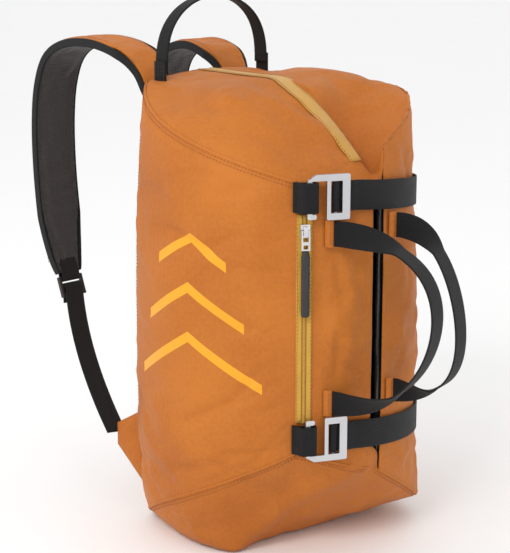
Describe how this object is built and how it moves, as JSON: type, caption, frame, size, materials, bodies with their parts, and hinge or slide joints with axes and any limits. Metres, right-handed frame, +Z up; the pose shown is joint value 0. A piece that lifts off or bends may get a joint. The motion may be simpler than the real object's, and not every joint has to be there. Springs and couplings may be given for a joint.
{
  "type": "rope storage bag",
  "caption": "Upright drum-shaped rope bag with a flat back, a front mouth closed by hooked cross straps, a zip pocket, carry handles, a haul loop and padded shoulder straps.",
  "frame": {"origin": "on the floor under the drum's axis, in the middle of the flat patch that the bag stands on", "axes": "+Z up, -Y towards the mouth, +Y towards the flat back and its shoulder straps, +X to the right as seen from the mouth"},
  "size_m": [0.2999, 0.5431, 0.5689],
  "materials": {
    "shell_cloth": "woven ripstop nylon with a faint sheen",
    "pad_lining": "open black mesh over foam",
    "pocket_cloth": "thin grey nylon",
    "seam_tape": "smooth yellow woven tape",
    "binding": "glossy coated black cloth",
    "zip": "yellow zip tape with nylon coil",
    "zip_metal": "polished",
    "pull_tab": "folded black webbing",
    "hook_metal": "satin",
    "webbing": "woven black nylon webbing",
    "lock_plastic": "moulded"
  },
  "bodies": {
    "bag": {"back_panel": "shell_cloth", "left_side_panel": "shell_cloth", "right_side_panel": "shell_cloth", "left_mouth_panel": "shell_cloth", "right_mouth_panel": "shell_cloth", "top_end_panel": "shell_cloth", "bottom_end_panel": "shell_cloth", "top_seam_tape": "seam_tape", "left_lip_binding": "binding", "right_lip_binding": "binding", "zip_pocket_bag": "pocket_cloth", "zip_tape": "zip", "zip_coil": "zip", "upper_anchor_loop": "webbing", "lower_anchor_loop": "webbing", "upper_cross_strap": "webbing", "lower_cross_strap": "webbing", "left_handle_patches": "shell_cloth", "right_handle_patches": "shell_cloth", "haul_loop_tabs": "webbing", "left_strap_wing": "shell_cloth", "right_strap_wing": "shell_cloth"},
    "zip_slider_body": {"zip_slider": "zip_metal"},
    "zip_puller_body": {"zip_puller": "zip_metal", "zip_pull_tab": "pull_tab"},
    "upper_hook_body": {"upper_hook": "hook_metal", "upper_hook_webbing": "webbing"},
    "lower_hook_body": {"lower_hook": "hook_metal", "lower_hook_webbing": "webbing"},
    "left_handle_body": {"left_handle": "webbing"},
    "right_handle_body": {"right_handle": "webbing"},
    "haul_loop_body": {"haul_loop": "webbing"},
    "left_strap": {"left_pad_cover": "shell_cloth", "left_pad_lining": "pad_lining", "left_lock_loop": "webbing", "left_ladder_lock": "lock_plastic", "left_adjust_webbing": "webbing"},
    "right_strap": {"right_pad_cover": "shell_cloth", "right_pad_lining": "pad_lining", "right_lock_loop": "webbing", "right_ladder_lock": "lock_plastic", "right_adjust_webbing": "webbing"}
  },
  "joints": [
    {"name": "zip_slide", "type": "slide", "parent": "bag", "child": "zip_slider_body", "axis": [0, 0, 1], "range_m": [-0.1, 0]},
    {"name": "puller_swing", "type": "hinge", "parent": "zip_slider_body", "child": "zip_puller_body", "pos_m": [-0.09255, -0.12645, 0.353], "axis": [-0.807, 0.5906, 0], "range_deg": [0, 140]},
    {"name": "upper_hook_lift", "type": "hinge", "parent": "bag", "child": "upper_hook_body", "pos_m": [-0.09083, -0.12929, 0.386], "axis": [0, 0, -1], "range_deg": [0, 20]},
    {"name": "lower_hook_lift", "type": "hinge", "parent": "bag", "child": "lower_hook_body", "pos_m": [-0.09083, -0.12929, 0.14], "axis": [0, 0, -1], "range_deg": [0, 20]},
    {"name": "left_handle_swing", "type": "hinge", "parent": "bag", "child": "left_handle_body", "pos_m": [-0.06487, -0.13912, 0.2625], "axis": [0, 0, 1], "range_deg": [-70, 10]},
    {"name": "right_handle_swing", "type": "hinge", "parent": "bag", "child": "right_handle_body", "pos_m": [0.01338, -0.15292, 0.2625], "axis": [0, 0, 1], "range_deg": [-10, 70]},
    {"name": "haul_loop_swing", "type": "hinge", "parent": "bag", "child": "haul_loop_body", "pos_m": [0, 0.095, 0.492], "axis": [1, 0, 0], "range_deg": [-8, 80]},
    {"name": "left_strap_swing", "type": "hinge", "parent": "bag", "child": "left_strap", "pos_m": [-0.104, 0.146, 0.089], "axis": [0.116, -0.0659, 0.9911], "range_deg": [-6, 20]},
    {"name": "right_strap_swing", "type": "hinge", "parent": "bag", "child": "right_strap", "pos_m": [0.104, 0.146, 0.089], "axis": [-0.116, -0.0659, 0.9911], "range_deg": [-20, 6]}
  ]
}
